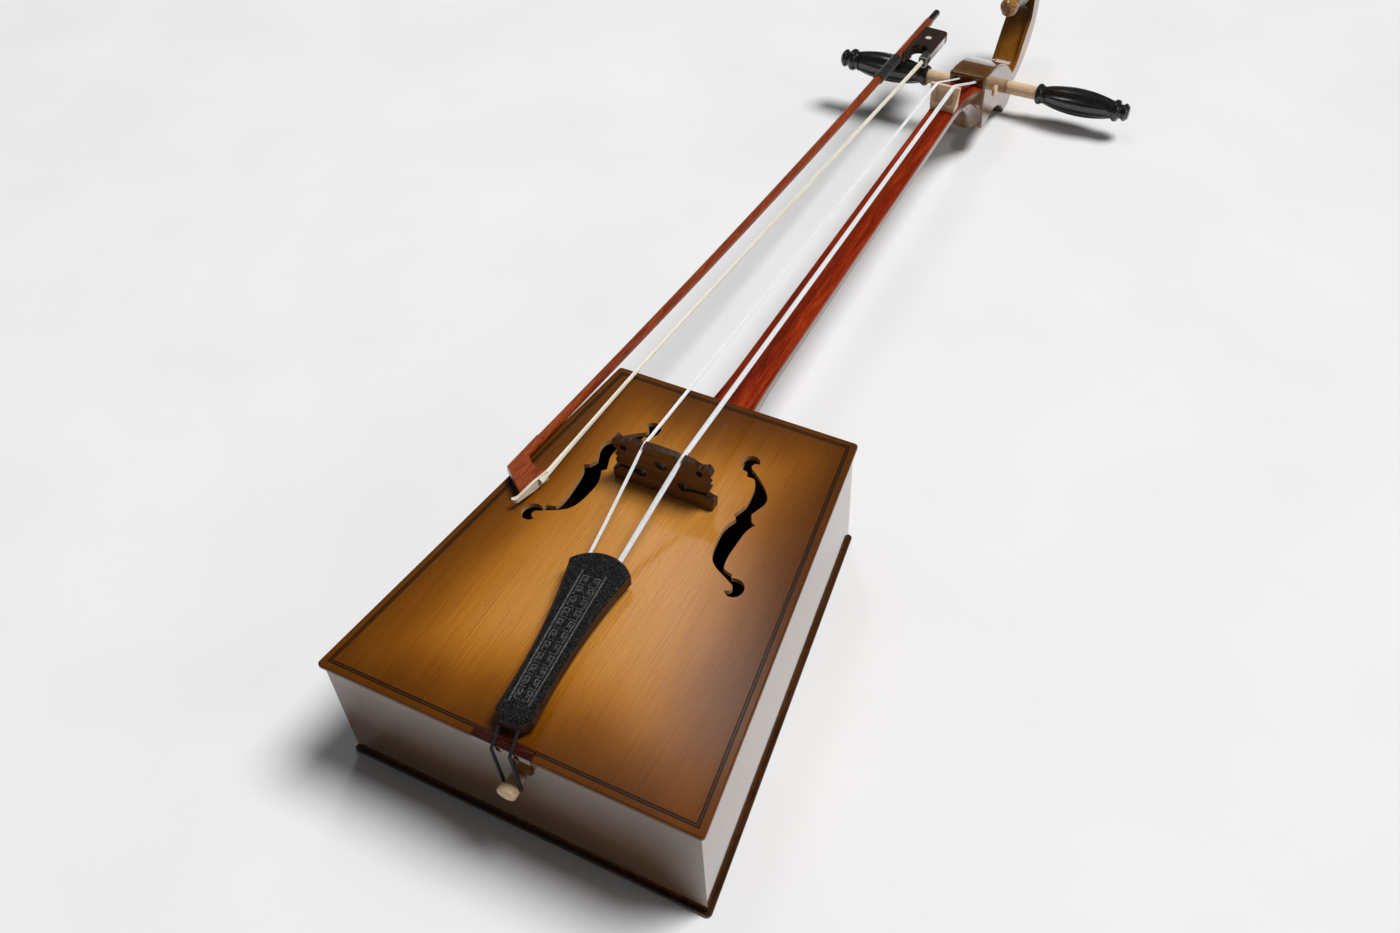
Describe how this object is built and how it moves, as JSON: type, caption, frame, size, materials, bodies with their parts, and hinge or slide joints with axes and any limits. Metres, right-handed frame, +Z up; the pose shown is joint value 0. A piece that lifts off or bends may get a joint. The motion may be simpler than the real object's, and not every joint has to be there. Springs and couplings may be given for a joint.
{
  "type": "morin khuur",
  "caption": "Horse-head fiddle with a trapezoid sound box, long neck, turning pegs and carved horse's head, lying on its back with its horsehair bow laid along it.",
  "frame": {"origin": "middle of the outer face of the back plate, on the surface that the fiddle lies on", "axes": "+Y along the neck from the tail to the horse's head, +Z up out of the soundboard, +X to the right seen from the tail"},
  "size_m": [0.3016, 1.0925, 0.1482],
  "materials": {
    "lacquered_back": "glossy dark brown lacquer",
    "soundboard_lacquer": "satin amber-brown sunburst lacquer on straight-grained wood",
    "black_inlay": "dark inlaid lines",
    "lacquered_ribs": "mirror-gloss brown lacquer",
    "bare_spruce": "unfinished",
    "pale_maple": "fine-sanded, unvarnished",
    "red_rosewood": "polished dark red",
    "lacquered_neck": "glossy brown lacquer with darker shading",
    "padauk": "satin red hardwood with dark streaks",
    "brown_maple": "stained brown, sawn edges darker",
    "ebony": "carved, satin black",
    "ebony_gloss": "polished black",
    "black_cord": "braided black cord",
    "white_filament": "bundled pale filaments",
    "carved_head": "carved and glossy, golden brown",
    "eye_gloss": "glossy black",
    "silvered_mane": "carved locks, painted silver grey",
    "brass_wire": "worn brass",
    "bow_wood": "satin red-brown hardwood",
    "bone": "polished bone",
    "horsehair": "cream hair ribbon",
    "black_leather": "soft black leather",
    "nickel_silver": "polished nickel silver",
    "pearl": "pearl",
    "steel": "threaded steel"
  },
  "bodies": {
    "fiddle": {"back_plate": "lacquered_back", "soundboard": "soundboard_lacquer", "purfling": "black_inlay", "rib_tail": "lacquered_ribs", "rib_head": "lacquered_ribs", "rib_left": "lacquered_ribs", "rib_right": "lacquered_ribs", "corner_blocks": "bare_spruce", "front_linings": "bare_spruce", "back_linings": "bare_spruce", "tail_block": "bare_spruce", "neck_block": "bare_spruce", "bass_bar": "bare_spruce", "sound_post": "bare_spruce", "tail_button": "pale_maple", "lower_saddle": "red_rosewood", "neck": "lacquered_neck", "fingerboard": "padauk", "upper_bridge": "pale_maple", "bridge": "brown_maple", "tailpiece": "ebony", "tail_cord": "black_cord", "thin_string": "white_filament", "thick_string": "white_filament", "pegbox": "lacquered_neck", "horse_neck": "lacquered_neck", "horse_head": "carved_head", "horse_eyes": "eye_gloss", "mane": "silvered_mane", "screw_eye": "brass_wire"},
    "left_peg": {"left_peg_shaft": "pale_maple", "left_peg_handle": "ebony_gloss", "left_string_winding": "white_filament"},
    "right_peg": {"right_peg_shaft": "pale_maple", "right_peg_handle": "ebony_gloss", "right_string_winding": "white_filament"},
    "bow": {"bow_stick": "bow_wood", "bow_tip_plate": "bone", "bow_hair": "horsehair", "bow_grip": "black_leather"},
    "frog": {"frog": "ebony", "ferrule": "nickel_silver", "pearl_eyes": "pearl", "hair_slide": "pearl", "screw_nut": "brass_wire"},
    "screw": {"bow_screw": "steel", "screw_button": "ebony_gloss"}
  },
  "joints": [
    {"name": "left_peg_turn", "type": "hinge", "parent": "fiddle", "child": "left_peg", "pos_m": [-0.0045, 0.7415, 0.052], "axis": [1, 0, 0], "continuous": true},
    {"name": "right_peg_turn", "type": "hinge", "parent": "fiddle", "child": "right_peg", "pos_m": [-0.0045, 0.7915, 0.0285], "axis": [1, 0, 0], "continuous": true},
    {"name": "bow_lift", "type": "slide", "parent": "fiddle", "child": "bow", "axis": [0, 0, 1], "range_m": [0, 0.3]},
    {"name": "bow_screw_turn", "type": "hinge", "parent": "bow", "child": "screw", "pos_m": [-0.08902, 0.82148, 0.06675], "axis": [0.0124, 0.9983, -0.0576], "range_deg": [-1081, 1081]},
    {"name": "frog_slide", "type": "slide", "parent": "bow", "child": "frog", "axis": [0.0124, 0.9983, -0.0576], "range_m": [-0.003, 0.003]}
  ],
  "couplings": [
    {"joint": "bow_screw_turn", "follows": "frog_slide", "rad_per_m": 6283.2}
  ]
}
